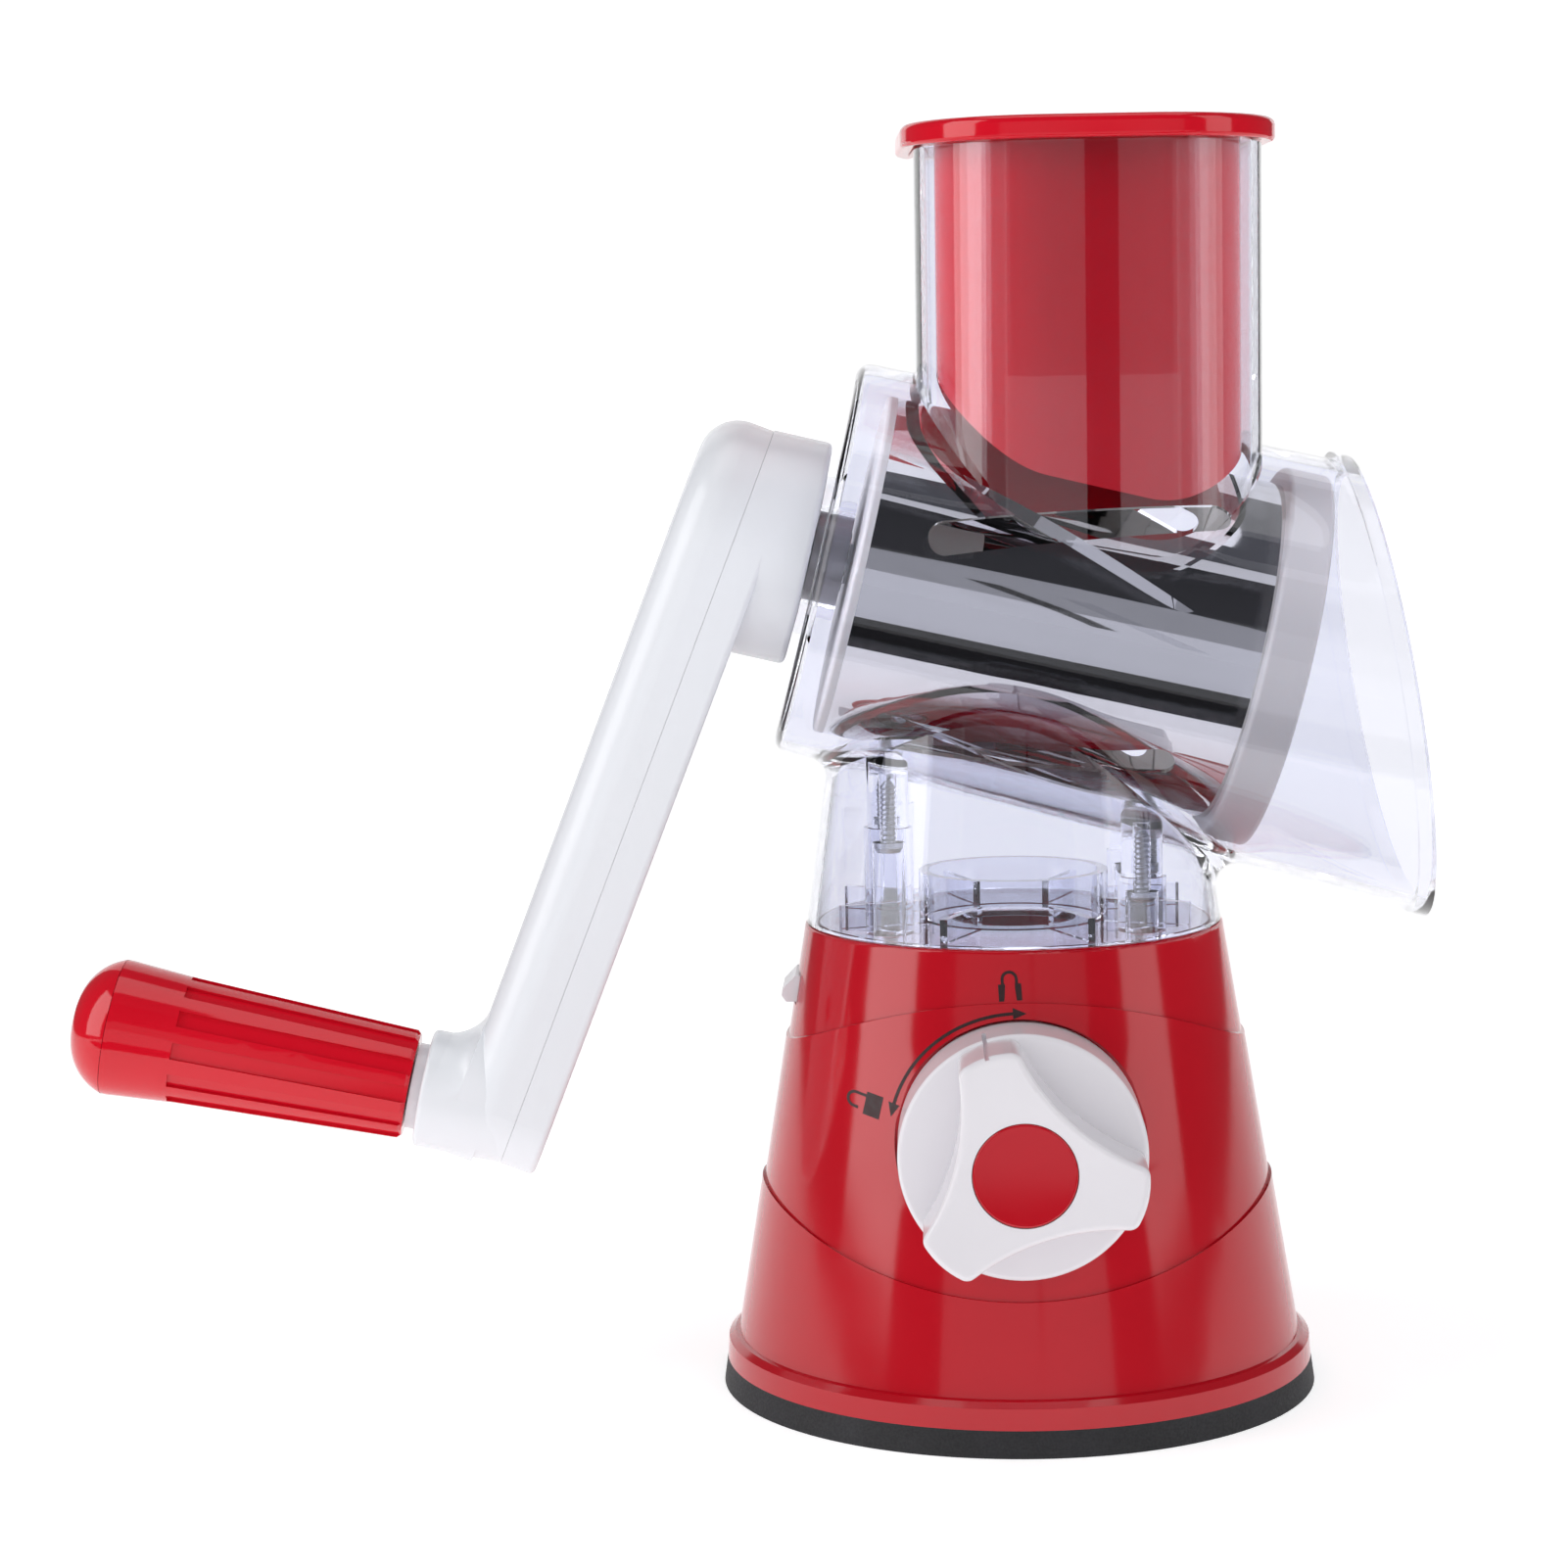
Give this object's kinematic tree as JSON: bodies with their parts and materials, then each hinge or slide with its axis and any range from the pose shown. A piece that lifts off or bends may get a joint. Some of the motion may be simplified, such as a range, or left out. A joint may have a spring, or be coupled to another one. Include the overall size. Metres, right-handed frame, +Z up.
{
  "type": "rotary drum slicer",
  "caption": "Hand cranked drum slicer: clear housing with hopper, pusher and slotted steel drum on a conical suction base with a locking knob.",
  "frame": {"origin": "centre of the base's resting face", "axes": "+Z up; +X towards the drum's open end where slices leave, -X towards the crank; -Y is the suction knob's side"},
  "size_m": [0.2728, 0.1328, 0.2511],
  "materials": {
    "red_gloss": "gloss",
    "black_rubber": "matte",
    "white_plastic": "satin gloss",
    "clear_plastic": "clear gloss",
    "polished_steel": "mirror polished",
    "shaft_steel": "turned",
    "screw_steel": "bright zinc"
  },
  "bodies": {
    "base": {"base_shell": "red_gloss", "rubber_foot": "black_rubber", "suction_cup": "black_rubber", "cup_clamp_ring": "white_plastic", "clamp_ring_screws": "screw_steel", "base_deck": "red_gloss", "deck_screws": "screw_steel", "cam_bearing_block": "white_plastic", "bearing_screws": "screw_steel", "latch_guide": "white_plastic", "guide_screws": "screw_steel", "latch_spring": "screw_steel"},
    "knob": {"suction_knob": "white_plastic", "knob_cap": "red_gloss", "knob_screw": "screw_steel", "cam_shaft": "white_plastic"},
    "lifter": {"lift_stem": "white_plastic"},
    "latch": {"release_latch": "white_plastic"},
    "housing": {"food_housing": "clear_plastic", "shaft_bush": "white_plastic", "lock_plate": "clear_plastic", "housing_screws": "screw_steel"},
    "crank": {"crank_arm_inner": "white_plastic", "crank_arm_outer": "white_plastic", "crank_screws": "screw_steel", "drive_shaft": "shaft_steel", "shaft_screw": "screw_steel", "grip_spindle": "white_plastic", "grip_screw": "screw_steel"},
    "drum": {"drum_shell": "polished_steel", "drum_rear_hub": "white_plastic", "drum_front_ring": "white_plastic"},
    "grip": {"hand_grip": "red_gloss", "grip_end_cap": "red_gloss"},
    "pusher": {"food_pusher": "red_gloss", "pusher_cover": "red_gloss"}
  },
  "joints": [
    {"name": "knob_turn", "type": "hinge", "parent": "base", "child": "knob", "pos_m": [-0.00229, -0.05695, 0.057], "axis": [-0.0401, -0.9992, 0], "range_deg": [-15, 50]},
    {"name": "stem_lift", "type": "slide", "parent": "base", "child": "lifter", "axis": [0, 0, 1], "range_m": [-0.00314, 0.00094], "deforming": ["suction_cup"]},
    {"name": "latch_press", "type": "slide", "parent": "base", "child": "latch", "axis": [0.9992, -0.0401, 0], "range_m": [0, 0.003], "stiffness_N_per_m": 300, "springref_m": -0.003, "deforming": ["latch_spring"]},
    {"name": "housing_lift", "type": "slide", "parent": "base", "child": "housing", "axis": [0, 0, 1], "range_m": [0, 0.06]},
    {"name": "crank_turn", "type": "hinge", "parent": "housing", "child": "crank", "pos_m": [0, 0, 0.1582], "axis": [0.9713, 0, -0.2377], "continuous": true},
    {"name": "drum_pull", "type": "slide", "parent": "crank", "child": "drum", "axis": [0.9713, 0, -0.2377], "range_m": [0, 0.11]},
    {"name": "grip_turn", "type": "hinge", "parent": "crank", "child": "grip", "pos_m": [-0.10022, 0, 0.05713], "axis": [0.9769, 0, -0.2139], "continuous": true},
    {"name": "pusher_lift", "type": "slide", "parent": "housing", "child": "pusher", "axis": [0, 0, 1], "range_m": [0, 0.08]}
  ],
  "couplings": [
    {"joint": "knob_turn", "follows": "stem_lift", "rad_per_m": -277.78}
  ]
}
